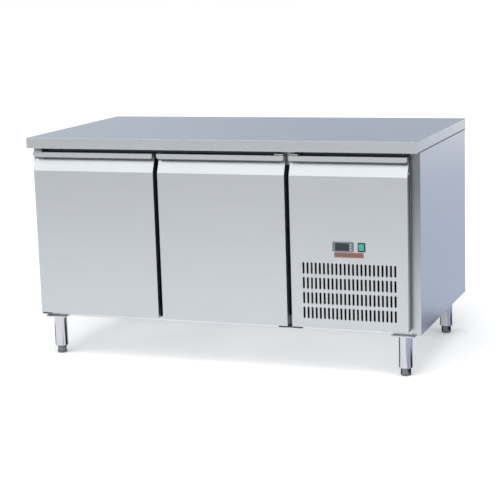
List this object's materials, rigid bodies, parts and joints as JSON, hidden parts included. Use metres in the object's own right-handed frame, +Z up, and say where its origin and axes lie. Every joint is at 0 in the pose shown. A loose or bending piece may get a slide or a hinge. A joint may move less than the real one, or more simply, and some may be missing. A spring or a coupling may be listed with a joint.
{
  "type": "undercounter refrigerator",
  "caption": "Stainless worktop refrigerator on adjustable legs, with hinged doors over a cooled chamber and a compressor bay behind a slotted service panel",
  "frame": {"origin": "on the floor under the middle of the worktop", "axes": "+X to the right as the user faces the doors, +Y to the back, +Z up"},
  "size_m": [1.51, 0.8, 0.85],
  "materials": {
    "stainless": "satin",
    "galvanised": "satin",
    "board": "matte",
    "foam": "matte",
    "liner": "satin",
    "gasket": "matte",
    "leg_steel": "polished",
    "foot_steel": "satin",
    "zinc": "satin",
    "controller_plastic": "satin",
    "lens": "gloss",
    "key_plastic": "satin",
    "black_plastic": "satin",
    "green_rocker": "gloss",
    "label": "satin",
    "shelf_coating": "satin",
    "coil_fins": "satin",
    "fan_blades": "satin",
    "motor_paint": "satin",
    "compressor_paint": "gloss",
    "mount_rubber": "matte",
    "box_plastic": "matte",
    "tray_plastic": "satin",
    "copper": "satin"
  },
  "bodies": {
    "cabinet": {"worktop": "stainless", "worktop_core": "board", "side_panel_left": "stainless", "side_panel_right": "stainless", "front_frame": "stainless", "rear_panel": "galvanised", "rear_grille": "galvanised", "mains_gland": "black_plastic", "base_panel": "galvanised", "foam_body": "foam", "inner_liner": "liner", "bay_divider": "galvanised", "hinge_brackets_left": "zinc", "hinge_brackets_middle": "zinc", "cabinet_screws": "zinc", "shelf_posts": "liner", "shelf_runners": "liner", "shelf_left": "shelf_coating", "shelf_right": "shelf_coating", "evaporator_cover": "liner", "evaporator_coil": "coil_fins", "evaporator_fan_motor": "motor_paint", "unit_tray": "galvanised", "condenser_coil": "coil_fins", "fan_shroud": "galvanised", "condenser_fan_motor": "motor_paint", "compressor": "compressor_paint", "compressor_mounts": "mount_rubber", "electrical_box": "box_plastic", "evaporation_tray": "tray_plastic", "filter_drier": "copper", "refrigerant_pipes": "copper", "leg_front_left": "leg_steel", "leg_front_right": "leg_steel", "leg_rear_left": "leg_steel", "leg_rear_right": "leg_steel"},
    "door_left": {"door_left_skin": "stainless", "door_left_foam": "foam", "door_left_liner": "liner", "door_left_gasket": "gasket"},
    "door_right": {"door_right_skin": "stainless", "door_right_foam": "foam", "door_right_liner": "liner", "door_right_gasket": "gasket"},
    "panel": {"service_panel": "stainless", "controller_housing": "controller_plastic", "controller_lens": "lens", "switch_frame": "black_plastic", "label_plate": "label", "service_panel_screw": "zinc"},
    "rocker": {"switch_rocker": "green_rocker"},
    "key_up": {"controller_key_up": "key_plastic"},
    "key_set": {"controller_key_set": "key_plastic"},
    "key_down": {"controller_key_down": "key_plastic"},
    "condenser_fan": {"condenser_fan": "fan_blades"},
    "evaporator_fan": {"evaporator_fan": "fan_blades"},
    "foot_front_left": {"foot_front_left": "foot_steel"},
    "foot_front_right": {"foot_front_right": "foot_steel"},
    "foot_rear_left": {"foot_rear_left": "foot_steel"},
    "foot_rear_right": {"foot_rear_right": "foot_steel"}
  },
  "joints": [
    {"name": "door_left_hinge", "type": "hinge", "parent": "cabinet", "child": "door_left", "pos_m": [-0.725, -0.376, 0.483], "axis": [0, 0, -1], "range_deg": [0, 110], "stiffness_Nm_per_rad": 0.6, "springref_deg": -9.74},
    {"name": "door_right_hinge", "type": "hinge", "parent": "cabinet", "child": "door_right", "pos_m": [0.256, -0.376, 0.483], "axis": [0, 0, 1], "range_deg": [0, 90], "stiffness_Nm_per_rad": 0.6, "springref_deg": -9.74},
    {"name": "service_panel_hinge", "type": "hinge", "parent": "cabinet", "child": "panel", "pos_m": [0.297, -0.376, 0.483], "axis": [0, 0, -1], "range_deg": [0, 90]},
    {"name": "switch_rock", "type": "hinge", "parent": "panel", "child": "rocker", "pos_m": [0.551, -0.385, 0.473], "axis": [-1, 0, 0], "range_deg": [0, 16]},
    {"name": "key_up_press", "type": "slide", "parent": "panel", "child": "key_up", "axis": [0, 1, 0], "range_m": [0, 0.0008], "stiffness_N_per_m": 600, "springref_m": -0.0008},
    {"name": "key_set_press", "type": "slide", "parent": "panel", "child": "key_set", "axis": [0, 1, 0], "range_m": [0, 0.0008], "stiffness_N_per_m": 600, "springref_m": -0.0008},
    {"name": "key_down_press", "type": "slide", "parent": "panel", "child": "key_down", "axis": [0, 1, 0], "range_m": [0, 0.0008], "stiffness_N_per_m": 600, "springref_m": -0.0008},
    {"name": "condenser_fan_spin", "type": "hinge", "parent": "cabinet", "child": "condenser_fan", "pos_m": [0.501, -0.2, 0.302], "axis": [0, 1, 0], "continuous": true},
    {"name": "evaporator_fan_spin", "type": "hinge", "parent": "cabinet", "child": "evaporator_fan", "pos_m": [-0.278, 0.06, 0.54], "axis": [1, 0, 0], "continuous": true},
    {"name": "foot_front_left_screw", "type": "slide", "parent": "cabinet", "child": "foot_front_left", "axis": [0, 0, -1], "range_m": [0, 0.025]},
    {"name": "foot_front_right_screw", "type": "slide", "parent": "cabinet", "child": "foot_front_right", "axis": [0, 0, -1], "range_m": [0, 0.025]},
    {"name": "foot_rear_left_screw", "type": "slide", "parent": "cabinet", "child": "foot_rear_left", "axis": [0, 0, -1], "range_m": [0, 0.025]},
    {"name": "foot_rear_right_screw", "type": "slide", "parent": "cabinet", "child": "foot_rear_right", "axis": [0, 0, -1], "range_m": [0, 0.025]}
  ]
}
